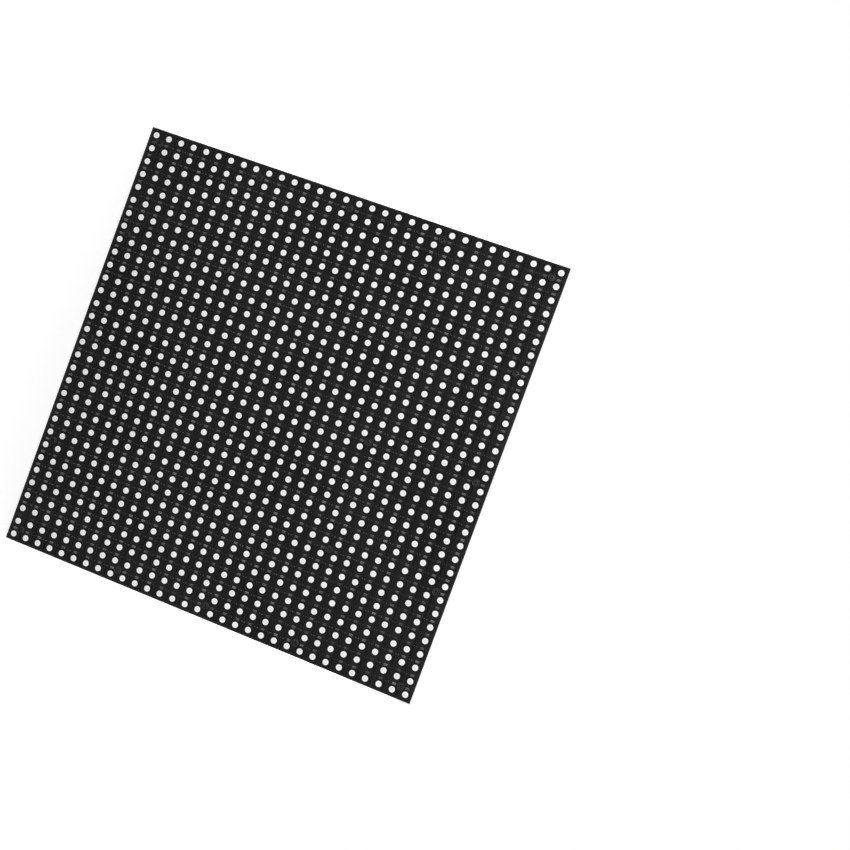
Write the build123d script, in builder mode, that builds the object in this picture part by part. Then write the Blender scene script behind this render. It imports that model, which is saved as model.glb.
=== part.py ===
"""LED display module: 32 by 32 surface-mounted lamps behind a louvred mask, on a moulded rear frame.

Millimetres. The module stands upright: X runs to the right as the lamps are seen, Z runs up, the lamps
face -Y and the frame, its threaded inserts and its gasket face +Y. The origin is the middle of the foot.
"""

import os

from build123d import *

# Lamp matrix
pixels = 32
pitch = 6.0
lamp_size = 3.4

# Layers, from the tips of the louvres to the tips of the locating pins
louvre_depth = 1.0
lamp_depth = 2.4
potting_depth = 1.0
board_depth = 1.6
rail_depth = 11.0
gasket_depth = 2.0
pin_proud = 2.2

# Mask
louvre_width = 1.0
slot_clearance = 0.1
skirt_wall = 0.8
board_clearance = 0.2

# Rear frame
rail_width = 15.4
flange_width = 3.8
flange_drop = 1.8
rail_wall = 2.0
opening_radius = 2.5
rail_radius = 5.0
rib_width = 5.0
rib_across = 48.0
rib_up = 42.0
web_node = (65.0, 64.0)
web_foot_across = 60.0
web_foot_up = 62.0
web_foot_width = 3.0
web_tie_width = 2.0
web_clearance = 3.0

# Hollow post at the crossing of the middle ribs
post_radius = 4.0
collar_radius = 2.3
collar_proud = 1.0
collar_bore = 0.9
collar_bore_depth = 6.0

# Threaded inserts and their bosses
boss_inset = 0.5
boss_radius = 4.9
boss_drop = 0.3
insert_radius = 2.65
insert_bore = 1.65
insert_length = 8.0
insert_relief = 1.5

# Locating pins
pin_radius = 1.5
pin_up = 24.0
pin_tip_chamfer = 0.5

# Gasket
gasket_web = 0.8
lip_width = 2.0
bead_width = 1.5
tie_width = 1.0
tie_places = (-42.0, 42.0)
boss_pad_radius = 6.5
pin_pad_radius = 4.0
seal_clearance = 0.15
pin_clearance = 0.9

# Parts on the back of the board, placed as seen from behind
driver_size = (3.9, 8.7)
driver_columns = (40.3, -57.0)
driver_pitch = 18.0
driver_banks = (42.0, -43.0)
drivers_per_bank = 4
switch_size = (3.9, 4.9)
switch_right = 11.3
switch_right_rows = (69.0, 51.0, 33.0, 5.5, -15.3, -33.5, -51.0, -70.0)
switch_left = -13.0
switch_left_rows = (69.0, 51.0, 33.0, 14.0, -7.0, -33.5, -51.0, -70.0)
buffer_size = (3.9, 9.9)
buffer_right = 55.5
buffer_right_rows = (59.5, 22.7, -25.3, -61.0)
buffer_left_places = ((-32.0, 8.5), (-42.2, -25.0), (-42.2, -61.3))
chip_depth = 1.5
capacitor_places = ((38.5, 6.0), (10.6, -24.8), (-15.0, 7.0), (-41.9, -6.2))
capacitor_base = 6.6
capacitor_base_depth = 1.0
capacitor_base_chamfer = 1.2
can_radius = 3.1
can_depth = 4.8
can_chamfer = 0.4
resistor_size = (1.6, 0.8)
resistor_depth = 0.5
resistor_offset = (6.4, 4.0)
resistor_pitch = 1.6
resistors_per_buffer = 3

# Data sockets, one at each side
socket_size = (8.9, 27.7)
socket_rail_gap = 3.15
socket_depth = 9.0
socket_wall = 1.2
socket_floor = 2.4
socket_key = 4.4
contact_pitch = 2.54
contact_rows = 8
contact_size = 0.64
contact_drop = 0.8

# Power socket
power_place = (-20.7, -21.0)
power_size = (16.4, 8.2)
power_depth = 8.8
power_wall = 0.9
power_floor = 3.0
power_pitch = 3.96
power_ways = 4
power_contact_size = 1.14

# Paper label
label_place = (19.5, 20.7)
label_size = (20.0, 10.6)
label_depth = 0.1

# Worked out from the sizes above
module = pixels * pitch
mask_face = louvre_depth
potting_face = mask_face + lamp_depth
board_face = potting_face + potting_depth
board_back = board_face + board_depth
rail_face = board_back + rail_depth
flange_face = rail_face - flange_drop
gasket_face = rail_face + gasket_depth
boss_face = gasket_face - boss_drop
module_depth = gasket_face + pin_proud
board_size = module - 2 * (skirt_wall + board_clearance)
rail_size = module - 2 * flange_width
opening = rail_size - 2 * rail_width
rail_middle = (rail_size + opening) / 4
boss_spacing = rail_middle - boss_inset
slot_width = lamp_size + 2 * slot_clearance
web_end = (opening + rail_wall) / 2
socket_across = (opening - socket_size[0]) / 2 - socket_rail_gap


def level(depth):
    """Plane at a depth behind the tips of the louvres, drawn as seen from behind."""
    return Plane(
        origin=(0, depth - module_depth / 2, module / 2),
        x_dir=(-1, 0, 0),
        z_dir=(0, 1, 0),
    )


def boss_places():
    """Eight bosses: a three by three grid without its middle."""
    steps = (-boss_spacing, 0, boss_spacing)
    return [(x, y) for x in steps for y in steps if (x, y) != (0, 0)]


def pin_places():
    """Two locating pins, half a turn apart."""
    return [(rail_middle, pin_up), (-rail_middle, -pin_up)]


def chip_group(size, depth, places):
    """Moulded chip bodies that stand on the back of the board."""
    with BuildPart() as group:
        with BuildSketch(level(board_back)):
            with Locations(*places):
                Rectangle(*size)
        extrude(amount=depth)
    return group.part


def driver_places():
    """Two columns of lamp drivers, each in an upper and a lower bank."""
    rows = [
        bank + driver_pitch * (step - (drivers_per_bank - 1) / 2)
        for bank in driver_banks
        for step in range(drivers_per_bank)
    ]
    return [(column, row) for column in driver_columns for row in rows]


def buffer_places():
    """Signal buffers beside the right rib and near the middle of the board."""
    return [(buffer_right, row) for row in buffer_right_rows] + list(buffer_left_places)


def resistor_places():
    """A short stack of chip resistors beside each signal buffer."""
    across, up = resistor_offset
    stack = [up + resistor_pitch * step for step in range(resistors_per_buffer)]
    return [(x + across, y + rise) for x, y in buffer_places() for rise in stack]


def socket_shroud(side):
    """Open-topped shroud of a data socket, keyed on the side towards the middle of the board."""
    across, up = socket_size
    with BuildPart() as shroud:
        with BuildSketch(level(board_back)):
            with Locations((side * socket_across, 0)):
                Rectangle(across, up)
        extrude(amount=socket_depth)
        with BuildSketch(level(board_back + socket_floor)):
            with Locations((side * socket_across, 0)):
                Rectangle(across - 2 * socket_wall, up - 2 * socket_wall)
            with Locations((side * (socket_across - (across - socket_wall) / 2), 0)):
                Rectangle(socket_wall, socket_key)
        extrude(amount=socket_depth - socket_floor, mode=Mode.SUBTRACT)
    return shroud.part


def socket_contacts(side):
    """Two columns of square contacts that stand on the floor of a data socket."""
    with BuildPart() as contacts:
        with BuildSketch(level(board_back + socket_floor)):
            with Locations((side * socket_across, 0)):
                with GridLocations(contact_pitch, contact_pitch, 2, contact_rows):
                    Rectangle(contact_size, contact_size)
        extrude(amount=socket_depth - socket_floor - contact_drop)
    return contacts.part


def seal_groove(outer, outer_radius, inner, inner_radius):
    """Ring between two rounded squares, broken by pads round the bosses and pins, ties and corner ridges."""
    with BuildSketch(level(rail_face + gasket_web)) as groove:
        RectangleRounded(outer, outer, outer_radius)
        RectangleRounded(inner, inner, inner_radius, mode=Mode.SUBTRACT)
        with Locations(*boss_places()):
            Circle(boss_pad_radius, mode=Mode.SUBTRACT)
        with Locations(*pin_places()):
            Circle(pin_pad_radius, mode=Mode.SUBTRACT)
        with Locations(*[(place, 0) for place in tie_places]):
            Rectangle(tie_width, module, mode=Mode.SUBTRACT)
        with Locations(*[(0, place) for place in tie_places]):
            Rectangle(module, tie_width, mode=Mode.SUBTRACT)
        for side in (-1, 1):
            corner = (side * boss_spacing, boss_spacing)
            opposite = (-side * boss_spacing, -boss_spacing)
            with Locations(corner, opposite):
                Rectangle(2 * rail_width, tie_width, rotation=side * 45, mode=Mode.SUBTRACT)
    return groove.sketch


# Mask: a louvre between the rows, and a slot for each row of lamps
with BuildPart() as front_mask:
    with BuildSketch(level(mask_face)):
        Rectangle(module, module)
    extrude(amount=lamp_depth)
    with BuildSketch(level(potting_face)):
        Rectangle(module, module)
        Rectangle(module - 2 * skirt_wall, module - 2 * skirt_wall, mode=Mode.SUBTRACT)
    extrude(amount=potting_depth + board_depth)
    with BuildSketch(level(0)):
        with GridLocations(0, pitch, 1, pixels - 1):
            Rectangle(module, louvre_width)
    extrude(amount=louvre_depth)
    with BuildSketch(level(mask_face)):
        with GridLocations(0, pitch, 1, pixels):
            Rectangle(module - pitch + slot_width, slot_width)
    extrude(amount=lamp_depth, mode=Mode.SUBTRACT)

# Lamps, one for each pixel
with BuildPart() as led_lamps:
    with BuildSketch(level(mask_face)):
        with GridLocations(pitch, pitch, pixels, pixels):
            Rectangle(lamp_size, lamp_size)
    extrude(amount=lamp_depth)

# Waterproof potting that the lamps' legs stand in
with BuildPart() as potting:
    with BuildSketch(level(potting_face)):
        Rectangle(board_size, board_size)
    extrude(amount=potting_depth)

# Circuit board
with BuildPart() as circuit_board:
    with BuildSketch(level(board_face)):
        Rectangle(board_size, board_size)
    extrude(amount=board_depth)

# Rear frame: flange, rails, ribs, corner webs, bosses and pins moulded as one
with BuildPart() as rear_frame:
    with BuildSketch(level(board_back)):
        Rectangle(module, module)
        RectangleRounded(opening, opening, opening_radius, mode=Mode.SUBTRACT)
    extrude(amount=rail_depth - flange_drop)
    with BuildSketch(level(flange_face)):
        RectangleRounded(rail_size, rail_size, rail_radius)
        RectangleRounded(opening, opening, opening_radius, mode=Mode.SUBTRACT)
    extrude(amount=flange_drop)

    # hollows in the rails, open to the board
    hollow_width = (module - opening) / 2 - 2 * rail_wall
    hollow_middle = (module + opening) / 4
    hollow_start = boss_radius + rail_wall
    hollow_end = (boss_spacing - rail_wall) / 2
    hollow_length = hollow_end - hollow_start
    near_hollow = (hollow_start + hollow_end) / 2
    along = [-near_hollow, near_hollow, near_hollow - boss_spacing, boss_spacing - near_hollow]
    with BuildSketch(level(board_back)):
        with Locations(*[(place, side * hollow_middle) for place in along for side in (-1, 1)]):
            Rectangle(hollow_length, hollow_width)
        with Locations(*[(side * hollow_middle, place) for place in along for side in (-1, 1)]):
            Rectangle(hollow_width, hollow_length)
    extrude(amount=rail_depth - flange_drop - rail_wall, mode=Mode.SUBTRACT)

    # straight ribs and the post where the middle ones cross
    with BuildSketch(level(board_back)):
        with GridLocations(rib_across, 0, 3, 1):
            Rectangle(rib_width, opening)
        with GridLocations(0, rib_up, 1, 3):
            Rectangle(2 * rib_across, rib_width)
        Circle(post_radius)
    extrude(amount=rail_depth)

    # corner webs that bridge over the board
    with BuildSketch(level(board_back + web_clearance)):
        with BuildLine():
            Line((rib_across, rib_up), web_node)
        trace(line_width=rib_width)
        with BuildLine():
            Line(web_node, (web_foot_across, web_end))
        trace(line_width=web_foot_width)
        with BuildLine():
            Line(web_node, (web_end, web_foot_up))
        trace(line_width=web_tie_width)
        mirror(about=Plane.YZ)
        mirror(about=Plane.XZ)
    extrude(amount=rail_depth - web_clearance)

    # collar on the post, bosses and locating pins
    with BuildSketch(level(rail_face)):
        Circle(collar_radius)
    extrude(amount=collar_proud)
    with BuildSketch(level(rail_face)):
        with Locations(*boss_places()):
            Circle(boss_radius)
    extrude(amount=gasket_depth - boss_drop)
    with BuildSketch(level(rail_face)):
        with Locations(*pin_places()):
            Circle(pin_radius)
    extrude(amount=gasket_depth + pin_proud)
    tips = rear_frame.faces().sort_by(Axis.Y)[-len(pin_places()):]
    chamfer(tips.edges(), pin_tip_chamfer)

    # holes for the inserts and in the collar
    with BuildSketch(level(boss_face)):
        with Locations(*boss_places()):
            Circle(insert_radius)
    extrude(amount=-insert_length - insert_relief, mode=Mode.SUBTRACT)
    with BuildSketch(level(rail_face + collar_proud)):
        Circle(collar_bore)
    extrude(amount=-collar_bore_depth, mode=Mode.SUBTRACT)

# Brass inserts with a tapped bore
with BuildPart() as thread_inserts:
    with BuildSketch(level(boss_face)):
        with Locations(*boss_places()):
            Circle(insert_radius)
            Circle(insert_bore, mode=Mode.SUBTRACT)
    extrude(amount=-insert_length)

# Gasket with a lip at each edge and a bead along the middle
with BuildPart() as gasket:
    with BuildSketch(level(rail_face)):
        RectangleRounded(rail_size, rail_size, rail_radius)
        RectangleRounded(opening, opening, opening_radius, mode=Mode.SUBTRACT)
        with Locations(*boss_places()):
            Circle(boss_radius + seal_clearance, mode=Mode.SUBTRACT)
        with Locations(*pin_places()):
            Circle(pin_radius + pin_clearance, mode=Mode.SUBTRACT)
    extrude(amount=gasket_depth)
    bead_outer = 2 * rail_middle + bead_width
    bead_inner = 2 * rail_middle - bead_width
    outer_groove = seal_groove(
        rail_size - 2 * lip_width, rail_radius - lip_width, bead_outer, opening_radius
    )
    inner_groove = seal_groove(
        bead_inner, opening_radius, opening + 2 * lip_width, opening_radius + lip_width
    )
    extrude(outer_groove, amount=gasket_depth - gasket_web, mode=Mode.SUBTRACT)
    extrude(inner_groove, amount=gasket_depth - gasket_web, mode=Mode.SUBTRACT)

# Capacitors: a moulded base with two cut corners, and an aluminium can
with BuildPart() as capacitor_bases:
    with BuildSketch(level(board_back)) as outline:
        with Locations(*capacitor_places):
            Rectangle(capacitor_base, capacitor_base)
        cut_corners = [
            corner for face in outline.faces() for corner in face.vertices().sort_by(Axis.X)[-2:]
        ]
        chamfer(cut_corners, capacitor_base_chamfer)
    extrude(amount=capacitor_base_depth)

with BuildPart() as capacitor_cans:
    with BuildSketch(level(board_back + capacitor_base_depth)):
        with Locations(*capacitor_places):
            Circle(can_radius)
    extrude(amount=can_depth)
    can_tops = capacitor_cans.faces().sort_by(Axis.Y)[-len(capacitor_places):]
    chamfer(can_tops.edges(), can_chamfer)

# Power socket: an open-topped housing and four square contacts
with BuildPart() as power_housing:
    with BuildSketch(level(board_back)):
        with Locations(power_place):
            Rectangle(*power_size)
    extrude(amount=power_depth)
    with BuildSketch(level(board_back + power_floor)):
        with Locations(power_place):
            Rectangle(power_size[0] - 2 * power_wall, power_size[1] - 2 * power_wall)
    extrude(amount=power_depth - power_floor, mode=Mode.SUBTRACT)

with BuildPart() as power_contacts:
    with BuildSketch(level(board_back + power_floor)):
        with Locations(power_place):
            with GridLocations(power_pitch, 0, power_ways, 1):
                Rectangle(power_contact_size, power_contact_size)
    extrude(amount=power_depth - power_floor - contact_drop)

# Blank paper label on the board
with BuildPart() as paper_label:
    with BuildSketch(level(board_back)):
        with Locations(label_place):
            Rectangle(*label_size)
    extrude(amount=label_depth)

switch_places = [(switch_right, row) for row in switch_right_rows]
switch_places += [(switch_left, row) for row in switch_left_rows]

pieces = {
    "front_mask": front_mask.part,
    "led_lamps": led_lamps.part,
    "potting": potting.part,
    "circuit_board": circuit_board.part,
    "rear_frame": rear_frame.part,
    "thread_inserts": thread_inserts.part,
    "gasket": gasket.part,
    "driver_chips": chip_group(driver_size, chip_depth, driver_places()),
    "switch_chips": chip_group(switch_size, chip_depth, switch_places),
    "buffer_chips": chip_group(buffer_size, chip_depth, buffer_places()),
    "chip_resistors": chip_group(resistor_size, resistor_depth, resistor_places()),
    "capacitor_bases": capacitor_bases.part,
    "capacitor_cans": capacitor_cans.part,
    "data_in_shroud": socket_shroud(-1),
    "data_in_contacts": socket_contacts(-1),
    "data_out_shroud": socket_shroud(1),
    "data_out_contacts": socket_contacts(1),
    "power_housing": power_housing.part,
    "power_contacts": power_contacts.part,
    "paper_label": paper_label.part,
}

os.makedirs("parts", exist_ok=True)
for name, piece in pieces.items():
    piece.label = name
    export_step(piece, f"parts/{name}.step")
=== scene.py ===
"""Looks of an LED display module: louvred mask over its lamps, board, rear frame and gasket.

Metres, in the frame's own axes: X to the right of the lamp side, Z up, lamps to -Y, gasket to +Y.
Places on the back are given as seen from behind: across, then up from the middle of the module.
"""

import math
import random

import bmesh
import bpy
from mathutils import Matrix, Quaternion, Vector


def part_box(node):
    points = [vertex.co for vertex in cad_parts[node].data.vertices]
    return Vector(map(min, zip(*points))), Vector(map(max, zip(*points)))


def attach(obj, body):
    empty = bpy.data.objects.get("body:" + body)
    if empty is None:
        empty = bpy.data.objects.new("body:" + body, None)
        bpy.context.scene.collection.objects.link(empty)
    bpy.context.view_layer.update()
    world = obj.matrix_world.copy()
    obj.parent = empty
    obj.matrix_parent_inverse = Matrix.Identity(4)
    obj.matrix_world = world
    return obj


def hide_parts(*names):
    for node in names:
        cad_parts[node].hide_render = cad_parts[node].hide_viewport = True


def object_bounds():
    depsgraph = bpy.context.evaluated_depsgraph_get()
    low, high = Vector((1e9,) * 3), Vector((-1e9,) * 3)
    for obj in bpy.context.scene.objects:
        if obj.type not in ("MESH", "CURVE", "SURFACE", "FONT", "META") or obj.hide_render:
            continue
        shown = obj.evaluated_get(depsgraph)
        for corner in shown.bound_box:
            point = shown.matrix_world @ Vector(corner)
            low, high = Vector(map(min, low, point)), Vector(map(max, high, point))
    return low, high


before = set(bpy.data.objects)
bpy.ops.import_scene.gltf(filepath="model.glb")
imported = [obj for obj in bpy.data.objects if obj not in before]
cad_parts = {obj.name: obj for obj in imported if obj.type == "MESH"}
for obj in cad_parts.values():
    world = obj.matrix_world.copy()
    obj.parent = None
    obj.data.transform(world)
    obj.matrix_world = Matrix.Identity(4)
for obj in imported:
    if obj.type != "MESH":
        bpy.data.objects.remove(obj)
cad_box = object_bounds()

MM = 0.001
WELD = 0.001 * MM
FULL_TURN = 2 * math.pi
SQUARE = ((-1, -1), (1, -1), (1, 1), (-1, 1))
ROUND_STEPS = 24

# Shading: a face whose normal is this near to Y is flat, and an edge past this angle is sharp
LEVEL = math.cos(math.radians(0.5))
SHARP_ANGLE = math.radians(35)

# Rounding of the moulded pieces: faces in one plane are joined, and an edge past this angle is rounded
# if it is longer than this many times the rounding
SAME_PLANE = math.radians(2)
ROUNDED_ANGLE = math.radians(30)
SHORTEST_EDGE = 2

# Levels and outline, from the frame
mask_low, mask_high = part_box("front_mask")
lamps_low, lamps_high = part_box("led_lamps")
HALF = (mask_high.x - mask_low.x) / 2
MIDDLE = (mask_low.z + mask_high.z) / 2
LOUVRE_TIP = mask_low.y
MASK_FACE = lamps_low.y
MASK_BACK = lamps_high.y
SKIRT_END = mask_high.y
BOARD_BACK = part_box("circuit_board")[1].y
GASKET_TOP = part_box("gasket")[1].y

# Mask plate and its windows
PIXELS = 32
PITCH = 2 * HALF / PIXELS
WINDOW = 3.6 * MM
WINDOW_RADIUS = 0.5 * MM
WINDOW_BEVEL = 0.16 * MM
MASK_EDGE = 0.3 * MM
SKIRT_WALL = 0.8 * MM

# Louvres, short ribs and small blocks on the plate; louvres and collars reach a little into it
SUNK = 0.05 * MM
LOUVRE_FOOT = 1.1 * MM
LOUVRE_TOP = 0.7 * MM
LOUVRE_ROUND = 0.15 * MM
LEFT_SLOPE = 0.1
RIGHT_SLOPE = 0.9
BAR_LENGTH = 1.6 * MM
BAR_WIDTH = 0.22 * MM
BAR_UNEVEN = 0.15
BAR_GAP = 0.52 * MM
BAR_SHIFT = 0.26 * MM
BAR_PROUD = 0.22 * MM
NUB_SIZE = 0.22 * MM
# Material slots on the mask: ribs and blocks take a painted glint, collars a lighter grey that is partly a
# painted highlight
RIB_GLINT, COLLAR_TINT = 1, 2

# Lamps
LAMP_SIDE = 3.4 * MM
LAMP_RADIUS = 0.35 * MM
LAMP_BEVEL = 0.12 * MM
LAMP_PLAY = 0.08 * MM
LENS_RADIUS = 1.3 * MM
LENS_PLAY = 0.04 * MM

# Mask screws, from the middle of the mask
SCREW_STEPS = (-90 * MM, -48 * MM, 0, 48 * MM, 90 * MM)
SCREW_ROWS = (-90 * MM, -42 * MM, 0, 42 * MM, 90 * MM)
SCREW_RADIUS = 1.25 * MM
SCREW_PLAY = 0.04 * MM
COLLAR_RADIUS = 1.6 * MM
LOUVRE_STOP = COLLAR_RADIUS * 0.97

# Board and inserts
PRINT_STEP = Vector((0, 0.03 * MM, 0))
DATA_PITCH = 2.54 * MM
POWER_PITCH = 3.96 * MM
INSERT_BORE = 1.65 * MM
THREAD_PITCH = 0.7 * MM
THREAD_DEPTH = 0.3 * MM


def linear(red, green, blue):
    """A colour as it is seen on a screen, as the shader's own numbers."""
    values = [c / 255 for c in (red, green, blue)]
    return [c / 12.92 if c <= 0.04045 else ((c + 0.055) / 1.055) ** 2.4 for c in values] + [1]


class Shape:
    """Corners and faces of one mesh, gathered before it is made."""

    def __init__(self):
        self.corners = []
        self.faces = []
        self.tints = []

    def add(self, corners, faces, tint=0):
        start = len(self.corners)
        self.corners += corners
        self.faces += [[start + corner for corner in face] for face in faces]
        self.tints += [tint] * len(faces)

    def prism(self, ring, step, tint=0):
        """A ring of corners carried along a step, with both ends closed."""
        count = len(ring)
        ends = [list(range(count)), list(range(count, 2 * count))]
        sides = [[i, (i + 1) % count, count + (i + 1) % count, count + i] for i in range(count)]
        self.add(ring + [corner + step for corner in ring], sides + ends, tint)

    def box(self, low, high, tint=0):
        ring = [
            Vector((low.x, low.y, low.z)),
            Vector((high.x, low.y, low.z)),
            Vector((high.x, low.y, high.z)),
            Vector((low.x, low.y, high.z)),
        ]
        self.prism(ring, Vector((0, high.y - low.y, 0)), tint)

    def strip(self, rings, tint=0, closed=False):
        """Faces between rings of the same number of corners, each ring a closed loop."""
        count = len(rings[0])
        corners = [corner for ring in rings for corner in ring]
        pairs = [(i, i + 1) for i in range(len(rings) - 1)]
        if closed:
            pairs.append((len(rings) - 1, 0))
        faces = [
            [a * count + j, a * count + (j + 1) % count, b * count + (j + 1) % count, b * count + j]
            for a, b in pairs
            for j in range(count)
        ]
        self.add(corners, faces, tint)

    def cap(self, ring, tint=0):
        """One flat face over a ring of corners."""
        self.add(ring, [list(range(len(ring)))], tint)

    def turned(self, centre, profile, steps, tint=0, phase=0.0):
        """A turned solid round an axis along Y; profile is radius and level, from one end to the other."""
        rings = [turned_ring(centre, radius, level, steps, phase) for radius, level in profile]
        self.strip(rings, tint)
        self.cap(rings[0], tint)
        self.cap(rings[-1], tint)


def on_circle(centre, radius, level, turn):
    """A point on a circle round (x, z) at a level of y."""
    return Vector((centre[0] + radius * math.cos(turn), level, centre[1] + radius * math.sin(turn)))


def turned_ring(centre, radius, level, steps, phase=0.0):
    """Corners of a circle round (x, z) at a level of y."""
    return [on_circle(centre, radius, level, FULL_TURN * i / steps + phase) for i in range(steps)]


def rounded_square(centre, side, radius, level, steps):
    """Corners of a square with round corners, steps arcs to each corner."""
    reach = side / 2 - radius
    ring = []
    for quarter in range(4):
        middle = math.pi / 2 * (quarter + 0.5)
        for i in range(steps + 1):
            turn = math.pi / 2 * (quarter + i / steps)
            x = math.copysign(reach, math.cos(middle)) + radius * math.cos(turn)
            z = math.copysign(reach, math.sin(middle)) + radius * math.sin(turn)
            ring.append(Vector((centre[0] + x, level, centre[1] + z)))
    return ring


def behind(across, up):
    """A point on the back of the board, placed in millimetres as seen from behind."""
    return Vector((-across * MM, BOARD_BACK, MIDDLE + up * MM))


def piece(name, shape, finishes, nodes=()):
    """Makes a mesh object that rides on the module, from a gathered shape or an edited mesh."""
    mesh = bpy.data.meshes.new(name)
    if isinstance(shape, Shape):
        mesh.from_pydata(shape.corners, [], shape.faces)
        mesh.polygons.foreach_set("material_index", shape.tints)
        shape = bmesh.new()
        shape.from_mesh(mesh)
        bmesh.ops.remove_doubles(shape, verts=shape.verts, dist=WELD)
        bmesh.ops.recalc_face_normals(shape, faces=shape.faces)
    shape.to_mesh(mesh)
    shape.free()
    for finish in finishes:
        mesh.materials.append(finish)
    mesh.polygons.foreach_set("use_smooth", [abs(face.normal.y) < LEVEL for face in mesh.polygons])
    mesh.set_sharp_from_angle(angle=SHARP_ANGLE)
    made = bpy.data.objects.new(name, mesh)
    bpy.context.collection.objects.link(made)
    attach(made, "root")
    if nodes:
        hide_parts(*nodes)


def node_shape(node):
    """The mesh of a CAD node with its split corners joined, as a copy that can be edited."""
    shape = bmesh.new()
    shape.from_mesh(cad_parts[node].data)
    bmesh.ops.remove_doubles(shape, verts=shape.verts, dist=WELD)
    shape.verts.ensure_lookup_table()
    return shape


def solids(node):
    """Lowest and highest corner of each separate solid of a CAD node, in the order of its mesh."""
    shape = node_shape(node)
    boxes = []
    for start in shape.verts:
        if start.tag:
            continue
        start.tag = True
        waiting = [start]
        found = []
        while waiting:
            corner = waiting.pop()
            found.append(corner.co.copy())
            for edge in corner.link_edges:
                other = edge.other_vert(corner)
                if not other.tag:
                    other.tag = True
                    waiting.append(other)
        low = Vector([min(point[i] for point in found) for i in range(3)])
        high = Vector([max(point[i] for point in found) for i in range(3)])
        boxes.append((low, high))
    shape.free()
    return boxes


def rounded_node(node, finish, width, segments=2):
    """Stands for a CAD node with its moulded edges rounded."""
    shape = node_shape(node)
    bmesh.ops.dissolve_limit(
        shape,
        angle_limit=SAME_PLANE,
        use_dissolve_boundaries=False,
        verts=shape.verts,
        edges=shape.edges,
    )
    edges = [
        edge
        for edge in shape.edges
        if len(edge.link_faces) == 2
        and edge.calc_face_angle() > ROUNDED_ANGLE
        and edge.calc_length() > SHORTEST_EDGE * width
    ]
    bmesh.ops.bevel(
        shape,
        geom=edges,
        offset=width,
        segments=segments,
        profile=0.5,
        affect="EDGES",
        clamp_overlap=False,
    )
    piece(node + "_moulded", shape, [finish], [node])


def coat(node, finish):
    """Gives a CAD node that stays a new finish."""
    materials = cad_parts[node].data.materials
    materials.clear()
    materials.append(finish)


class Nodes:
    """Short ways to add shader nodes to one material."""

    def __init__(self, name):
        self.material = bpy.data.materials.new(name)
        self.material.use_nodes = True
        self.tree = self.material.node_tree
        self.shader = self.tree.nodes["Principled BSDF"]
        self.place = self.tree.nodes.new("ShaderNodeTexCoord").outputs["Object"]

    def link(self, source, target):
        self.tree.links.new(source, target)

    def stretched(self, scale):
        mapping = self.tree.nodes.new("ShaderNodeMapping")
        mapping.inputs["Scale"].default_value = scale
        self.link(self.place, mapping.inputs["Vector"])
        return mapping.outputs["Vector"]

    def noise(self, scale, detail=3, place=None):
        node = self.tree.nodes.new("ShaderNodeTexNoise")
        node.inputs["Scale"].default_value = scale
        node.inputs["Detail"].default_value = detail
        self.link(place or self.place, node.inputs["Vector"])
        return node.outputs["Fac"]

    def ramp(self, source, stops):
        node = self.tree.nodes.new("ShaderNodeValToRGB")
        elements = node.color_ramp.elements
        while len(elements) < len(stops):
            elements.new(0.5)
        for element, (position, colour) in zip(elements, stops):
            element.position = position
            element.color = colour
        self.link(source, node.inputs["Fac"])
        return node.outputs["Color"]

    def mix(self, factor, first, second):
        node = self.tree.nodes.new("ShaderNodeMix")
        node.data_type = "RGBA"
        self.link(factor, node.inputs["Factor"])
        for source, target in ((first, node.inputs[6]), (second, node.inputs[7])):
            if isinstance(source, list):
                target.default_value = source
            else:
                self.link(source, target)
        return node.outputs[2]

    def span(self, source, low, high):
        node = self.tree.nodes.new("ShaderNodeMapRange")
        node.inputs["From Min"].default_value = 0.3
        node.inputs["From Max"].default_value = 0.7
        node.inputs["To Min"].default_value = low
        node.inputs["To Max"].default_value = high
        self.link(source, node.inputs["Value"])
        return node.outputs["Result"]

    def rise(self, low, high):
        """Grows from 0 at one level of y to 1 at another."""
        parts = self.tree.nodes.new("ShaderNodeSeparateXYZ")
        self.link(self.place, parts.inputs["Vector"])
        node = self.tree.nodes.new("ShaderNodeMapRange")
        node.inputs["From Min"].default_value = low
        node.inputs["From Max"].default_value = high
        self.link(parts.outputs["Y"], node.inputs["Value"])
        return node.outputs["Result"]

    def bump(self, source, height):
        node = self.tree.nodes.new("ShaderNodeBump")
        node.inputs["Strength"].default_value = 1.0
        node.inputs["Distance"].default_value = height
        self.link(source, node.inputs["Height"])
        self.link(node.outputs["Normal"], self.shader.inputs["Normal"])

    def fixed(self, **values):
        for socket, value in values.items():
            self.shader.inputs[socket.replace("_", " ")].default_value = value


def moulded(name, dark, light, rough, patch, grain, height, **values):
    """Plastic, rubber, metal or paper whose colour and gloss wander, with a fine grain."""
    nodes = Nodes(name)
    clouds = nodes.noise(patch)
    colour = nodes.ramp(clouds, [(0.3, linear(*dark)), (0.7, linear(*light))])
    nodes.link(colour, nodes.shader.inputs["Base Color"])
    gloss = nodes.span(nodes.noise(patch * 3.1, 5), *rough)
    nodes.link(gloss, nodes.shader.inputs["Roughness"])
    nodes.bump(nodes.noise(grain, 4), height)
    nodes.fixed(**values)
    return nodes.material


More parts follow.
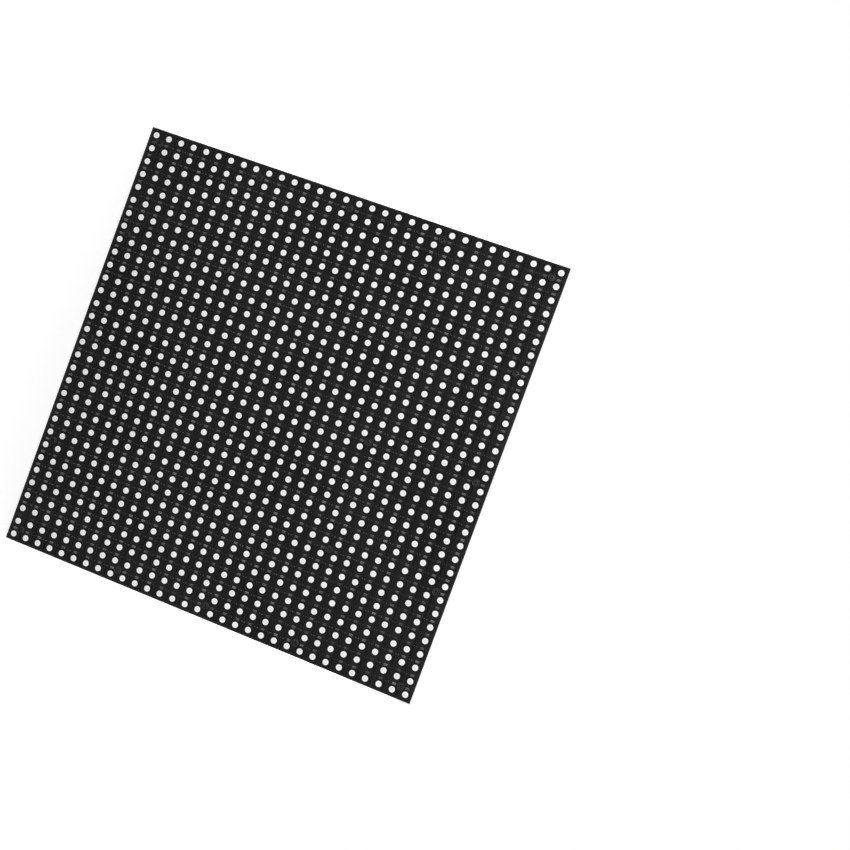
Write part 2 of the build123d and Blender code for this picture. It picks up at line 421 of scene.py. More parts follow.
def board_finish():
    """Green solder mask over long copper tracks, with small holes between the layers."""
    black, white = [0, 0, 0, 1], [1, 1, 1, 1]
    nodes = Nodes("solder_mask")
    wide = nodes.noise(1, 2, nodes.stretched((14, 1, 260)))
    fine = nodes.noise(1, 3, nodes.stretched((22, 1, 1150)))
    base = nodes.ramp(wide, [(0.36, linear(6, 104, 66)), (0.6, linear(20, 132, 86))])
    dark = nodes.ramp(fine, [(0.44, black), (0.5, white)])
    tracks = nodes.mix(dark, linear(4, 78, 50), base)
    zones = nodes.ramp(nodes.noise(26, 1), [(0.42, black), (0.55, white)])
    colour = nodes.mix(zones, tracks, base)
    holes = nodes.tree.nodes.new("ShaderNodeTexVoronoi")
    holes.inputs["Scale"].default_value = 230
    nodes.link(nodes.place, holes.inputs["Vector"])
    rings = nodes.ramp(holes.outputs["Distance"], [(0.05, white), (0.07, black)])
    nodes.link(nodes.mix(rings, colour, linear(70, 150, 110)), nodes.shader.inputs["Base Color"])
    nodes.link(nodes.span(nodes.noise(90, 3), 0.28, 0.42), nodes.shader.inputs["Roughness"])
    nodes.bump(dark, 0.02 * MM)
    nodes.fixed(Specular_IOR_Level=0.15)
    return nodes.material


def mask_finish():
    """Matt black plastic, with painted shade on the louvres: they are coloured a little darker because
    they stand in more light.
    """
    nodes = Nodes("mask_black")
    clouds = nodes.noise(40)
    face = nodes.ramp(clouds, [(0.3, linear(24, 24, 25)), (0.7, linear(32, 32, 33))])
    # painted shade: a darker copy of the black, blended in by height towards the louvre tips
    louvres = nodes.ramp(clouds, [(0.3, linear(19, 19, 20)), (0.7, linear(26, 26, 27))])
    height = nodes.rise(MASK_FACE - 0.1 * MM, LOUVRE_TIP + 0.1 * MM)
    nodes.link(nodes.mix(height, face, louvres), nodes.shader.inputs["Base Color"])
    nodes.link(nodes.span(nodes.noise(124, 5), 0.5, 0.66), nodes.shader.inputs["Roughness"])
    nodes.bump(nodes.noise(1800, 4), 0.03 * MM)
    nodes.fixed(Specular_IOR_Level=0.1)
    return nodes.material


def gasket_finish():
    """Pale rubber, with a painted highlight on its thin lips and bead, which are coloured lighter than the
    web between them.
    """
    nodes = Nodes("gasket_rubber")
    clouds = nodes.noise(30)
    web = nodes.ramp(clouds, [(0.3, linear(148, 154, 165)), (0.7, linear(164, 170, 181))])
    # painted highlight: a lighter copy of the rubber, blended in by height on the lips and bead
    ridge_highlight = nodes.ramp(clouds, [(0.3, linear(186, 192, 203)), (0.7, linear(200, 206, 217))])
    height = nodes.rise(GASKET_TOP - 1.0 * MM, GASKET_TOP - 0.2 * MM)
    nodes.link(nodes.mix(height, web, ridge_highlight), nodes.shader.inputs["Base Color"])
    nodes.link(nodes.span(nodes.noise(90, 5), 0.48, 0.66), nodes.shader.inputs["Roughness"])
    nodes.bump(nodes.noise(900, 4), 0.05 * MM)
    nodes.fixed(Specular_IOR_Level=0.3)
    return nodes.material


def lens_finish(name, dark, light):
    """Milky resin over the lamp's cup."""
    return moulded(name, dark, light, (0.22, 0.35), 500, 3000, 0.004 * MM, Specular_IOR_Level=0.35)


MASK = mask_finish()
# Screw collars: a lighter grey than the mask, partly screwdriver polish and partly a painted highlight of
# their bright rim
COLLAR = moulded(
    "mask_collar", (38, 38, 40), (54, 54, 56), (0.36, 0.5), 400, 1800, 0.02 * MM, Specular_IOR_Level=0.2
)
# Painted glints on the mask's short ribs and small blocks; the same grey is also the real dot beside each
# chip's first lead
GLINT_AND_DOT_GREY = moulded(
    "painted_glint_and_dot_grey", (30, 30, 32), (142, 142, 144), (0.4, 0.55), 170, 2500, 0.02 * MM, Specular_IOR_Level=0.3
)
LAMP_BLACK = moulded(
    "lamp_black", (24, 24, 25), (33, 33, 34), (0.4, 0.55), 300, 2600, 0.01 * MM, Specular_IOR_Level=0.1
)
LENS_RIM = lens_finish("lens_rim", (233, 233, 233), (243, 243, 243))
LENS_CORE = lens_finish("lens_core", (214, 214, 214), (227, 227, 227))
POTTING = moulded(
    "potting_grey", (24, 24, 24), (34, 34, 35), (0.25, 0.4), 60, 500, 0.05 * MM, Specular_IOR_Level=0.3
)
FRAME_PLASTIC = moulded(
    "frame_plastic", (34, 36, 40), (43, 45, 49), (0.42, 0.58), 45, 1600, 0.04 * MM, Specular_IOR_Level=0.15
)
RUBBER = gasket_finish()
EPOXY = moulded(
    "chip_epoxy", (18, 20, 21), (27, 29, 30), (0.4, 0.55), 200, 2600, 0.015 * MM, Specular_IOR_Level=0.15
)
SOCKET = moulded(
    "socket_plastic", (20, 21, 23), (29, 30, 32), (0.35, 0.5), 80, 2000, 0.02 * MM, Specular_IOR_Level=0.18
)
TIN = moulded(
    "tinned_lead", (190, 192, 196), (232, 234, 238), (0.24, 0.42), 700, 2500, 0.02 * MM, Metallic=1.0
)
BRASS = moulded(
    "brass", (200, 172, 92), (236, 212, 128), (0.16, 0.32), 260, 1800, 0.02 * MM, Metallic=1.0
)
ALUMINIUM = moulded(
    "can_aluminium", (186, 188, 190), (214, 216, 218), (0.26, 0.4), 240, 3000, 0.01 * MM, Metallic=1.0
)
SCREW_STEEL = moulded(
    "screw_black_zinc", (38, 38, 40), (64, 64, 66), (0.3, 0.45), 500, 2500, 0.02 * MM, Metallic=1.0
)
CERAMIC = moulded(
    "resistor_glaze", (18, 18, 20), (30, 30, 32), (0.25, 0.4), 500, 2500, 0.01 * MM
)
INK = moulded(
    "silkscreen_white", (206, 214, 210), (236, 240, 238), (0.5, 0.65), 500, 2500, 0.01 * MM
)
# Black print on the capacitor tops, also used as painted shade in the screw recesses
PRINT_AND_SHADE_BLACK = moulded(
    "print_and_painted_shade_black", (14, 14, 16), (28, 28, 30), (0.45, 0.6), 500, 2500, 0.01 * MM
)
PAPER = moulded(
    "label_paper", (116, 100, 58), (132, 113, 70), (0.5, 0.68), 120, 1500, 0.03 * MM,
    Specular_IOR_Level=0.15,
)


def lamp_centres():
    """Middle of each lamp, across and up."""
    steps = [PITCH * (i - (PIXELS - 1) / 2) for i in range(PIXELS)]
    return [(x, MIDDLE + z) for z in steps for x in steps]


def crossing(step):
    """Distance from the middle to the line before a row or column of lamps."""
    return PITCH * (step - PIXELS / 2)


def screw_places():
    """Middle of each mask screw, across and up."""
    return [(x, MIDDLE + z) for x in SCREW_STEPS for z in SCREW_ROWS]


def is_one_of(value, places):
    """Whether a value is one of the places, apart from rounding."""
    return min(abs(value - place) for place in places) < WELD


def mask_cell(shape, centre):
    """The mask round one lamp: front face, bevelled window and back face."""
    corner_steps = 2
    rings = [
        rounded_square(centre, WINDOW + 2 * WINDOW_BEVEL, WINDOW_RADIUS, MASK_FACE, corner_steps),
        rounded_square(centre, WINDOW, WINDOW_RADIUS, MASK_FACE + WINDOW_BEVEL, corner_steps),
        rounded_square(centre, WINDOW, WINDOW_RADIUS, MASK_BACK, corner_steps),
    ]
    edge = []
    for corner in rings[0]:
        x, z = corner.x - centre[0], corner.z - centre[1]
        out = PITCH / 2 / max(abs(x), abs(z))
        edge.append(Vector((centre[0] + x * out, 0, centre[1] + z * out)))
    front = [Vector((corner.x, MASK_FACE, corner.z)) for corner in edge]
    back = [Vector((corner.x, MASK_BACK, corner.z)) for corner in edge]
    shape.strip([front, *rings, back])


def mask_rim(shape):
    """Edge of the mask plate: the outermost corners of both faces are joined over a small chamfer."""
    reach = HALF - MASK_EDGE
    outline = []
    for corner in shape.verts:
        if max(abs(corner.co.x), abs(corner.co.z - MIDDLE)) > HALF - WELD:
            outline.append(corner)
    for corner in outline:
        if corner.co.y < MASK_FACE + WELD:
            corner.co.x = max(-reach, min(reach, corner.co.x))
            corner.co.z = MIDDLE + max(-reach, min(reach, corner.co.z - MIDDLE))
    front = [e for e in shape.edges if e.is_boundary and e.verts[0].co.y < MASK_FACE + WELD]
    sides = bmesh.ops.extrude_edge_only(shape, edges=front)["geom"]
    for corner in [part for part in sides if isinstance(part, bmesh.types.BMVert)]:
        x, z = corner.co.x, corner.co.z - MIDDLE
        corner.co.y = MASK_FACE + MASK_EDGE
        if abs(x) > reach - WELD:
            corner.co.x = math.copysign(HALF, x)
        if abs(z) > reach - WELD:
            corner.co.z = MIDDLE + math.copysign(HALF, z)
    edges = [e for e in sides if isinstance(e, bmesh.types.BMEdge) and e.is_boundary]
    down = bmesh.ops.extrude_edge_only(shape, edges=edges)["geom"]
    for corner in [part for part in down if isinstance(part, bmesh.types.BMVert)]:
        corner.co.y = MASK_BACK
    bmesh.ops.remove_doubles(shape, verts=shape.verts, dist=WELD)


def louvre(shape, left, right, level):
    """One run of a louvre, tapered to its tip; it slopes where it ends at the mask's own edge."""
    foot, top, shoulder = LOUVRE_FOOT / 2, LOUVRE_TOP / 2, LOUVRE_ROUND / 2
    sunk = MASK_FACE + SUNK
    profile = [
        (-foot, sunk),
        (foot, sunk),
        (top + shoulder, LOUVRE_TIP + LOUVRE_ROUND),
        (top - shoulder, LOUVRE_TIP),
        (shoulder - top, LOUVRE_TIP),
        (-top - shoulder, LOUVRE_TIP + LOUVRE_ROUND),
    ]
    right_slope = RIGHT_SLOPE if right > HALF - MASK_EDGE - WELD else 0
    left_slope = LEFT_SLOPE if left < MASK_EDGE + WELD - HALF else 0
    ends = [
        [Vector((x + (y - sunk) * slope, y, MIDDLE + level + z)) for z, y in profile]
        for x, slope in ((left, -left_slope), (right, right_slope))
    ]
    shape.strip(ends)
    for ring in ends:
        shape.cap(ring)


def mask_plate():
    """The mask's plate, with a window for each lamp and a chamfered edge."""
    cells = Shape()
    for centre in lamp_centres():
        mask_cell(cells, centre)
    mesh = bpy.data.meshes.new("mask_plate")
    mesh.from_pydata(cells.corners, [], cells.faces)
    plate = bmesh.new()
    plate.from_mesh(mesh)
    bmesh.ops.remove_doubles(plate, verts=plate.verts, dist=WELD)
    mask_rim(plate)
    return plate


def add_skirt(shape):
    """Wall round the back of the mask."""
    inner = HALF - SKIRT_WALL
    outline = ((HALF, MASK_BACK), (HALF, SKIRT_END), (inner, SKIRT_END), (inner, MASK_BACK))
    loops = [
        [Vector((x * reach, level, MIDDLE + z * reach)) for x, z in SQUARE]
        for reach, level in outline
    ]
    shape.strip(loops, closed=True)


def add_louvres(shape):
    """A louvre between each two rows of lamps, broken where a screw stands in it."""
    for row in range(1, PIXELS):
        level = crossing(row)
        edges = [MASK_EDGE / 2 - HALF]
        if is_one_of(level, SCREW_ROWS):
            for place in SCREW_STEPS:
                edges += [place - LOUVRE_STOP, place + LOUVRE_STOP]
        edges.append(HALF - MASK_EDGE)
        for left, right in zip(edges[::2], edges[1::2]):
            louvre(shape, left, right, level)


def add_ribs(shape):
    """A pair of short ribs between each two lamps of a row, the left one a little wider; their pale grey
    is a painted glint.
    """
    half = BAR_LENGTH / 2
    for column in range(1, PIXELS):
        for row in range(PIXELS):
            level = MIDDLE + PITCH * (row - (PIXELS - 1) / 2)
            for side in (-1, 1):
                x = crossing(column) + BAR_SHIFT + side * BAR_GAP / 2
                wide = BAR_WIDTH / 2 * (1 - BAR_UNEVEN * side)
                low = Vector((x - wide, MASK_FACE - BAR_PROUD, level - half))
                high = Vector((x + wide, MASK_FACE + BAR_PROUD, level + half))
                shape.box(low, high, RIB_GLINT)


def add_nubs(shape):
    """A small block on each side of a louvre, in line with the ribs, where no screw stands; its pale grey
    is a painted glint.
    """
    half = NUB_SIZE / 2
    for column in range(1, PIXELS):
        for row in range(1, PIXELS):
            across, level = crossing(column), crossing(row)
            if is_one_of(across, SCREW_STEPS) and is_one_of(level, SCREW_ROWS):
                continue
            x = across + BAR_SHIFT
            for side in (-1, 1):
                z = MIDDLE + level + side * LOUVRE_FOOT / 2
                low = Vector((x - half, LOUVRE_TIP + BAR_PROUD, z - half))
                high = Vector((x + half, MASK_FACE + BAR_PROUD, z + half))
                shape.box(low, high, RIB_GLINT)


def add_collars(shape):
    """A ring round each mask screw, about as tall as the louvres; its lighter grey is partly polish and
    partly a painted highlight.
    """
    bore, foot = SCREW_RADIUS + SCREW_PLAY, MASK_FACE + SUNK
    profile = (
        (COLLAR_RADIUS, foot),
        (COLLAR_RADIUS, LOUVRE_TIP + 0.12 * MM),
        (COLLAR_RADIUS - 0.1 * MM, LOUVRE_TIP + 0.02 * MM),
        (bore, LOUVRE_TIP + 0.1 * MM),
        (bore, foot),
    )
    for centre in screw_places():
        rings = [turned_ring(centre, radius, level, ROUND_STEPS) for radius, level in profile]
        shape.strip(rings, COLLAR_TINT, closed=True)


def make_mask():
    """Front mask: plate, skirt, louvres, short ribs, small blocks and screw collars."""
    plate = mask_plate()
    extra = Shape()
    for add in (add_skirt, add_louvres, add_ribs, add_nubs, add_collars):
        add(extra)
    mesh = bpy.data.meshes.new("mask_ribs")
    mesh.from_pydata(extra.corners, [], extra.faces)
    mesh.polygons.foreach_set("material_index", extra.tints)
    plate.from_mesh(mesh)
    bmesh.ops.recalc_face_normals(plate, faces=plate.faces)
    piece("mask_shell", plate, [MASK, GLINT_AND_DOT_GREY, COLLAR], ["front_mask"])


def make_lamps():
    """Square black lamp bodies with a round milky lens in each."""
    bodies, lenses = Shape(), Shape()
    lens_steps, arc_steps = 24, 3
    body_steps = 4 * (arc_steps + 1)
    half_step = math.pi / body_steps
    lamp_face, seat_floor = MASK_FACE + 0.03 * MM, MASK_FACE + 0.35 * MM
    seat = LENS_RADIUS + LENS_PLAY
    lens_profile = (
        (LENS_RADIUS, seat_floor),
        (LENS_RADIUS, MASK_FACE + 0.1 * MM),
        (LENS_RADIUS * 0.95, MASK_FACE + 0.04 * MM),
        (LENS_RADIUS * 0.62, MASK_FACE),
    )
    for x, z in lamp_centres():
        centre = (x + random.uniform(-LAMP_PLAY, LAMP_PLAY), z + random.uniform(-LAMP_PLAY, LAMP_PLAY))
        body = [
            rounded_square(centre, LAMP_SIDE, LAMP_RADIUS, MASK_BACK, arc_steps),
            rounded_square(centre, LAMP_SIDE, LAMP_RADIUS, MASK_FACE + LAMP_BEVEL, arc_steps),
            rounded_square(centre, LAMP_SIDE - LAMP_BEVEL, LAMP_RADIUS, lamp_face, arc_steps),
            turned_ring(centre, seat, lamp_face, body_steps, half_step),
            turned_ring(centre, seat, seat_floor, body_steps, half_step),
        ]
        bodies.strip(body)
        bodies.cap(body[0])
        bodies.cap(body[-1])
        lens = [turned_ring(centre, radius, level, lens_steps) for radius, level in lens_profile]
        lenses.strip(lens)
        lenses.cap(lens[0])
        lenses.cap(lens[-1], 1)
    piece("lamp_bodies", bodies, [LAMP_BLACK], ["led_lamps"])
    piece("lamp_lenses", lenses, [LENS_RIM, LENS_CORE])


def make_mask_screws():
    """Screws sunk in the mask's collars, each with a black disc and cross of painted shade on its head
    where the recess would be, each turned its own way.
    """
    shape = Shape()
    head = LOUVRE_TIP + 0.45 * MM
    recess_top, recess_depth, recess_radius = head - 0.01 * MM, 0.2 * MM, 0.42 * MM
    arm, width = SCREW_RADIUS * 0.64, 0.25 * MM
    profile = (
        (SCREW_RADIUS, MASK_FACE),
        (SCREW_RADIUS, head + 0.25 * MM),
        (SCREW_RADIUS * 0.9, head + 0.08 * MM),
        (SCREW_RADIUS * 0.62, head),
    )
    # painted shade: a black disc and cross stand a hair proud of the head where the recess would be dark
    recess = ((recess_radius, recess_top), (recess_radius, head + recess_depth))
    for centre in screw_places():
        shape.turned(centre, profile, ROUND_STEPS)
        turn = random.uniform(0, math.pi)
        shape.turned(centre, recess, 12, 1)
        start = Vector((centre[0], recess_top, centre[1]))
        for quarter in range(2):
            t = turn + quarter * math.pi / 2
            along = Vector((math.cos(t), 0, math.sin(t)))
            aside = Vector((-math.sin(t), 0, math.cos(t)))
            ring = [start + along * arm * a + aside * width * b for a, b in SQUARE]
            shape.prism(ring, Vector((0, recess_depth, 0)), 1)
    piece("mask_screws", shape, [SCREW_STEEL, PRINT_AND_SHADE_BLACK])


def bent_lead(shape, root, out, side, width, reach, rise, thick):
    """A lead that leaves a body at its root, bends down and lies on the board."""
    up = Vector((0, 1, 0))
    inside, shoulder, foot = -0.1 * MM, reach * 0.3, reach * 0.55
    outline = [
        (inside, rise),
        (shoulder, rise),
        (foot + thick / 2, thick),
        (reach, thick),
        (reach, 0),
        (foot - thick / 2, 0),
        (shoulder - thick, rise - thick),
        (inside, rise - thick),
    ]
    ring = [root + out * a + up * b - side * width / 2 for a, b in outline]
    shape.prism(ring, side * width)


def side_leads(shape, boxes, count, pitch, **lead):
    """Leads along both long sides of each box."""
    for low, high in boxes:
        middle = (low.z + high.z) / 2
        for i in range(count):
            z = middle + pitch * (i - (count - 1) / 2)
            for x, way in ((low.x, -1), (high.x, 1)):
                root = Vector((x, BOARD_BACK, z))
                bent_lead(shape, root, Vector((way, 0, 0)), Vector((0, 0, 1)), **lead)


def make_chips():
    """Chips with moulded edges, their leads and a dot beside the first lead."""
    leads, dots = Shape(), Shape()
    lead = {"reach": 1.05 * MM, "rise": 0.8 * MM, "thick": 0.16 * MM}
    dot_radius, dot_inset = 0.26 * MM, 0.75 * MM
    chips = (
        ("driver_chips", 12, 0.635 * MM),
        ("switch_chips", 4, 1.27 * MM),
        ("buffer_chips", 8, 1.27 * MM),
    )
    for node, count, pitch in chips:
        boxes = solids(node)
        rounded_node(node, EPOXY, 0.14 * MM)
        side_leads(leads, boxes, count, pitch, width=pitch * 0.42, **lead)
        for _, high in boxes:
            centre = (high.x - dot_inset, high.z - dot_inset)
            profile = ((dot_radius, high.y - 0.05 * MM), (dot_radius, high.y + 0.01 * MM))
            dots.turned(centre, profile, 16)
    piece("chip_leads", leads, [TIN])
    piece("chip_dots", dots, [GLINT_AND_DOT_GREY])


def make_resistors():
    """Chip resistors with a bright cap at each end."""
    rounded_node("chip_resistors", CERAMIC, 0.06 * MM)
    caps = Shape()
    length, proud, side_proud = 0.32 * MM, 0.03 * MM, 0.02 * MM
    for low, high in solids("chip_resistors"):
        for x, inward in ((low.x, 1), (high.x, -1)):
            near, far = sorted((x - inward * proud, x + inward * length))
            start = Vector((near, low.y, low.z - side_proud))
            end = Vector((far, high.y + proud, high.z + side_proud))
            caps.box(start, end)
    piece("resistor_caps", caps, [TIN])


def can_profile(foot, top, radius):
    """Radius and level up a can: a crimp above its base, and a rolled top round the printed face."""
    waist = radius - 0.3 * MM
    return (
        (radius - 0.1 * MM, foot),
        (radius, foot + 0.15 * MM),
        (radius, foot + 0.7 * MM),
        (waist, foot + 0.95 * MM),
        (waist, foot + 1.15 * MM),
        (radius, foot + 1.4 * MM),
        (radius, top - 0.4 * MM),
        (radius - 0.12 * MM, top - 0.12 * MM),
        (radius - 0.4 * MM, top),
        (radius - 0.55 * MM, top - 0.02 * MM),
        (radius - 0.62 * MM, top - 0.1 * MM),
    )


def make_capacitors():
    """Aluminium cans with a dark printed field and three plain bars on their tops."""
    rounded_node("capacitor_bases", SOCKET, 0.1 * MM)
    cans, marks = Shape(), Shape()
    field_start, field_turn, field_steps = 115, 130, 14
    bar_left, bar_right, bar_half, bar_pitch = 1.3 * MM, 0.3 * MM, 0.22 * MM, 1.1 * MM
    for low, high in solids("capacitor_cans"):
        x, z = (low.x + high.x) / 2, (low.z + high.z) / 2
        radius = (high.x - low.x) / 2
        cans.turned((x, z), can_profile(low.y, high.y, radius), 48)
        print_foot, print_top = high.y - 0.11 * MM, high.y - 0.08 * MM
        reach = radius - 0.66 * MM
        field = []
        for i in range(field_steps + 1):
            t = math.radians(field_start + field_turn * i / field_steps)
            field.append(Vector((x - reach * math.cos(t), print_foot, z + reach * math.sin(t))))
        marks.prism(field, PRINT_STEP)
        for i in range(3):
            level = z + (i - 1) * bar_pitch
            start = Vector((x - bar_left, print_foot, level - bar_half))
            marks.box(start, Vector((x + bar_right, print_top, level + bar_half)))
    piece("capacitor_tops", cans, [ALUMINIUM], ["capacitor_cans"])
    piece("capacitor_marks", marks, [PRINT_AND_SHADE_BLACK])


def pointed_pins(name, node):
    """Square contacts with a chamfered tip, where the CAD has plain ones."""
    shape = Shape()
    for low, high in solids(node):
        centre = ((low.x + high.x) / 2, (low.z + high.z) / 2)
        corner = (high.x - low.x) / 2 * math.sqrt(2)
        profile = ((corner, low.y), (corner, high.y - corner * 0.8), (corner * 0.5, high.y))
        shape.turned(centre, profile, 4, phase=math.pi / 4)
    piece(name, shape, [TIN], [node])


def make_sockets():
    """Sockets, their contacts and the leads that are soldered beside them."""
    leads = Shape()
    rounding = 0.2 * MM
    data_lead = {"width": 0.64 * MM, "reach": 1.8 * MM, "rise": 1.5 * MM, "thick": 0.4 * MM}
    power_lead = {"width": 1.3 * MM, "reach": 3.2 * MM, "rise": 2.2 * MM, "thick": 0.5 * MM}
    for side in ("in", "out"):
        shroud = f"data_{side}_shroud"
        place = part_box(shroud)
        rounded_node(shroud, SOCKET, rounding)
        pointed_pins(f"data_{side}_pins", f"data_{side}_contacts")
        side_leads(leads, [place], 8, DATA_PITCH, **data_lead)
    low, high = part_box("power_housing")
    rounded_node("power_housing", SOCKET, rounding)
    pointed_pins("power_pins", "power_contacts")
    for i in range(4):
        root = Vector(((low.x + high.x) / 2 + POWER_PITCH * (i - 1.5), BOARD_BACK, high.z))
        bent_lead(leads, root, Vector((0, 0, 1)), Vector((1, 0, 0)), **power_lead)
    piece("socket_leads", leads, [TIN])


def thread_ring(centre, level, steps):
    """Corners of a thread at one level, from crest to root and back once a turn."""
    ring = []
    for i in range(steps):
        phase = (level / THREAD_PITCH + i / steps) % 1
        reach = INSERT_BORE + THREAD_DEPTH * abs(2 * phase - 1)
        ring.append(on_circle(centre, reach, level, FULL_TURN * i / steps))
    return ring


def make_inserts():
    """Brass inserts with a real thread in their bore."""
    shape = Shape()
    steps, rows_per_turn = 36, 5
    for low, high in solids("thread_inserts"):
        centre = ((low.x + high.x) / 2, (low.z + high.z) / 2)
        radius = (high.x - low.x) / 2
        rings = [
            turned_ring(centre, radius, low.y, steps),
            turned_ring(centre, radius, high.y - 0.2 * MM, steps),
            turned_ring(centre, radius - 0.12 * MM, high.y, steps),
            turned_ring(centre, radius - 0.4 * MM, high.y, steps),
        ]
        start = high.y - 0.55 * MM
        depth = start - low.y
        rows = int(depth / THREAD_PITCH * rows_per_turn)
        rings += [thread_ring(centre, start - depth * row / rows, steps) for row in range(rows + 1)]
        shape.strip(rings, closed=True)
    piece("insert_threads", shape, [BRASS], ["thread_inserts"])


def printed(shape, outline):
    """A printed field on the board, its corners in millimetres as seen from behind."""
    shape.prism([behind(x, y) for x, y in outline], PRINT_STEP)


def stroke(shape, points, width=0.25):
    """A printed line through points on the board, in millimetres as seen from behind."""
    for start, end in zip(points, points[1:]):
        along = Vector((end[0] - start[0], end[1] - start[1])).normalized() * width / 2
        aside = Vector((-along.y, along.x))
        corners = [
            (start[0] - along.x + aside.x, start[1] - along.y + aside.y),
            (end[0] + along.x + aside.x, end[1] + along.y + aside.y),
            (end[0] + along.x - aside.x, end[1] + along.y - aside.y),
            (start[0] - along.x - aside.x, start[1] - along.y - aside.y),
        ]
        printed(shape, corners)


def arrow(shape, tip, turn):
    """A printed arrow with its tip at a place, turned from pointing up."""
    outline = [(0, 0), (2.1, -2.3), (0.95, -2.3), (0.95, -5), (-0.95, -5), (-0.95, -2.3), (-2.1, -2.3)]
    c, s = math.cos(turn), math.sin(turn)
    printed(shape, [(tip[0] + x * c - y * s, tip[1] + x * s + y * c) for x, y in outline])


def seen_middle(low, high):
    """Middle of a solid in millimetres, as seen from behind."""
    return -(low.x + high.x) / 2 / MM, ((low.z + high.z) / 2 - MIDDLE) / MM


def zone_lines(shape):
    """Lines round the zones of the board, broken under the ribs of the frame."""
    top, bottom = 75.5, -77.3
    upper_rib, middle_rib, lower_rib = (44.6, 39.3), (5.0, -5.0), (-40.0, -45.0)
    levels = [top, *upper_rib, *middle_rib, *lower_rib, bottom]
    for x in (-3.8, 45.0):
        for start, end in zip(levels[::2], levels[1::2]):
            stroke(shape, [(x, start), (x, end)])
    stroke(shape, [(-3.8, 5), (-6.5, 3)])
    stroke(shape, [(-6.5, -3), (-3.8, -5)])
    for level in (upper_rib[1], *lower_rib, bottom):
        for start, end in ((-45.0, -5.5), (1.5, 43.0)):
            stroke(shape, [(start, level), (end, level)])
    for x, y in ((-2.5, -40.5), (45.5, -40.5)):
        stroke(shape, [(x, y - 0.8), (x + 1.1, y + 0.6), (x + 3, y + 0.9)], 0.7)
    outer = 76
    for near, level, end in ((58, 44.6, 74), (58, 39.3, 14.5), (54, -40, -16), (58, -45, -70)):
        stroke(shape, [(near, level), (outer, level), (outer, end)])


def make_silkscreen():
    """White print on the board: zone lines, arrows, a blank triangle, outlines and short bars."""
    shape = Shape()
    zone_lines(shape)
    for tip in ((25, 37), (25, -34), (-28, -33.5), (-28, 37)):
        arrow(shape, tip, 0)
    for tip in ((72.5, 19.2), (72.5, -21.2)):
        arrow(shape, tip, -math.pi / 2)
    printed(shape, [(25, -18), (18, -30), (32, -30)])
    for side in (1, -1):
        for end in (1, -1):
            near, far = side * 64.2, side * 74.5
            stroke(shape, [(near, end * 12.2), (near, end * 15.0), (far, end * 15.0)])
    stroke(shape, [(-29.6, -22), (-29.6, -13), (-12, -13), (-12, -17)])
    for node in ("driver_chips", "switch_chips", "buffer_chips"):
        for low, high in solids(node):
            x, y = seen_middle(low, high)[0], (high.z - MIDDLE) / MM
            for mark in (-1.0, 0.0, 1.0):
                stroke(shape, [(x + mark - 0.25, y + 1.5), (x + mark + 0.25, y + 1.5)], 0.7)
    for low, high in solids("chip_resistors"):
        x, y = seen_middle(low, high)
        stroke(shape, [(x + 1.6, y), (x + 3.2, y)], 0.5)
    for low, high in solids("capacitor_bases"):
        x, y = seen_middle(low, high)
        stroke(shape, [(x - 1.5, y + 4.3), (x - 4, y + 4.3), (x - 4, y - 4.3), (x - 1.5, y - 4.3)], 0.2)
    piece("silkscreen", shape, [INK])


def floor_finish():
    """Pale floor; to the camera it also glows, more with distance, so that it ends in white."""
    material = bpy.data.materials.new("floor_white")
    material.use_nodes = True
    tree = material.node_tree
    shader = tree.nodes["Principled BSDF"]
    shader.inputs["Base Color"].default_value = (0.8, 0.8, 0.8, 1)
    shader.inputs["Roughness"].default_value = 0.9
    shader.inputs["Specular IOR Level"].default_value = 0.1
    path = tree.nodes.new("ShaderNodeLightPath")
    glow = tree.nodes.new("ShaderNodeEmission")
    glow.inputs["Color"].default_value = (1, 1, 1, 1)
    spot = tree.nodes.new("ShaderNodeTexCoord")
    away = tree.nodes.new("ShaderNodeVectorMath")
    away.operation = "LENGTH"
    tree.links.new(spot.outputs["Object"], away.inputs[0])
    fade = tree.nodes.new("ShaderNodeMapRange")
    for socket, value in (("From Min", 0.3), ("From Max", 1.2), ("To Min", 0.45), ("To Max", 1.0)):
        fade.inputs[socket].default_value = value
    tree.links.new(away.outputs["Value"], fade.inputs["Value"])
    seen = tree.nodes.new("ShaderNodeMath")
    seen.operation = "MULTIPLY"
    tree.links.new(path.outputs["Is Camera Ray"], seen.inputs[0])
    tree.links.new(fade.outputs["Result"], seen.inputs[1])
    tree.links.new(seen.outputs[0], glow.inputs["Strength"])
    both = tree.nodes.new("ShaderNodeAddShader")
    tree.links.new(shader.outputs[0], both.inputs[0])
    tree.links.new(glow.outputs[0], both.inputs[1])
    tree.links.new(both.outputs[0], tree.nodes["Material Output"].inputs["Surface"])
    return material


def make_floor():
    """Floor under the module's lowest edge."""
    mesh = bpy.data.meshes.new("floor")
    size = 8
    mesh.from_pydata([(x * size, y * size, 0) for x, y in SQUARE], [], [(0, 1, 2, 3)])
    floor = bpy.data.objects.new("floor", mesh)
    floor.location.z = cad_box[0].z
    bpy.context.collection.objects.link(floor)
    mesh.materials.append(floor_finish())


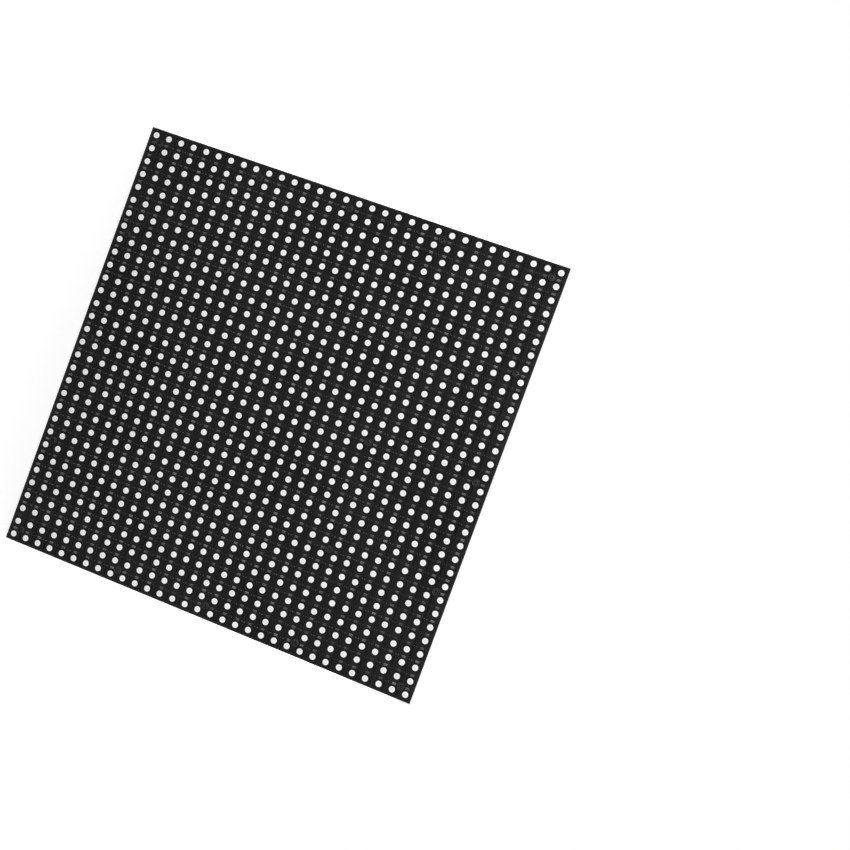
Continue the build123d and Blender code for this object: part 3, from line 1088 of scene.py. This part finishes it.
def make_world():
    """Surroundings that are white to the camera and in reflections, and give a dimmer even light."""
    even_light = 0.45
    world = bpy.data.worlds.new("studio")
    bpy.context.scene.world = world
    world.use_nodes = True
    tree = world.node_tree
    background = tree.nodes["Background"]
    background.inputs["Color"].default_value = (1, 1, 1, 1)
    path = tree.nodes.new("ShaderNodeLightPath")
    direct = tree.nodes.new("ShaderNodeMath")
    direct.operation = "MAXIMUM"
    tree.links.new(path.outputs["Is Camera Ray"], direct.inputs[0])
    tree.links.new(path.outputs["Is Glossy Ray"], direct.inputs[1])
    shown = tree.nodes.new("ShaderNodeMath")
    shown.operation = "MAXIMUM"
    tree.links.new(direct.outputs[0], shown.inputs[0])
    tree.links.new(path.outputs["Is Transmission Ray"], shown.inputs[1])
    strength = tree.nodes.new("ShaderNodeMapRange")
    strength.inputs["To Min"].default_value = even_light
    strength.inputs["To Max"].default_value = 1.0
    tree.links.new(shown.outputs[0], strength.inputs["Value"])
    tree.links.new(strength.outputs["Result"], background.inputs["Strength"])


def make_lights():
    """Two soft lamps, one before the module and one behind it."""
    centre = Vector((0, 0, MIDDLE))
    watts, size = 15, 0.8
    for name, place in (("key_lamp", (-0.5, -1.1, 0.9)), ("rear_lamp", (0.45, 1.15, 1.0))):
        lamp = bpy.data.lights.new(name, "AREA")
        lamp.energy = watts
        lamp.size = size
        light = bpy.data.objects.new(name, lamp)
        light.location = place
        light.rotation_mode = "QUATERNION"
        light.rotation_quaternion = (centre - Vector(place)).to_track_quat("-Z", "Y")
        bpy.context.collection.objects.link(light)


def make_camera():
    """The photograph's camera, fitted to the middles of the lamps."""
    place = Vector((-21, -336, 194.25)) * MM
    target = Vector((-15, -9.6, 157.8)) * MM
    roll = math.radians(110.337)
    lens = bpy.data.cameras.new("camera")
    lens.sensor_width = 36
    lens.lens = 33.36
    lens.clip_start = 0.01
    camera = bpy.data.objects.new("camera", lens)
    camera.location = place
    camera.rotation_mode = "QUATERNION"
    aim = (target - place).to_track_quat("-Z", "Y")
    camera.rotation_quaternion = aim @ Quaternion((0, 0, 1), roll)
    bpy.context.collection.objects.link(camera)
    bpy.context.scene.camera = camera


random.seed(7)
make_mask()
make_lamps()
make_mask_screws()
rounded_node("rear_frame", FRAME_PLASTIC, 0.3 * MM)
rounded_node("gasket", RUBBER, 0.25 * MM, 3)
make_chips()
make_resistors()
make_capacitors()
make_sockets()
make_inserts()
make_silkscreen()
coat("circuit_board", board_finish())
coat("potting", POTTING)
coat("paper_label", PAPER)
make_floor()
make_world()
make_lights()
make_camera()
bpy.context.scene.view_settings.view_transform = "Standard"
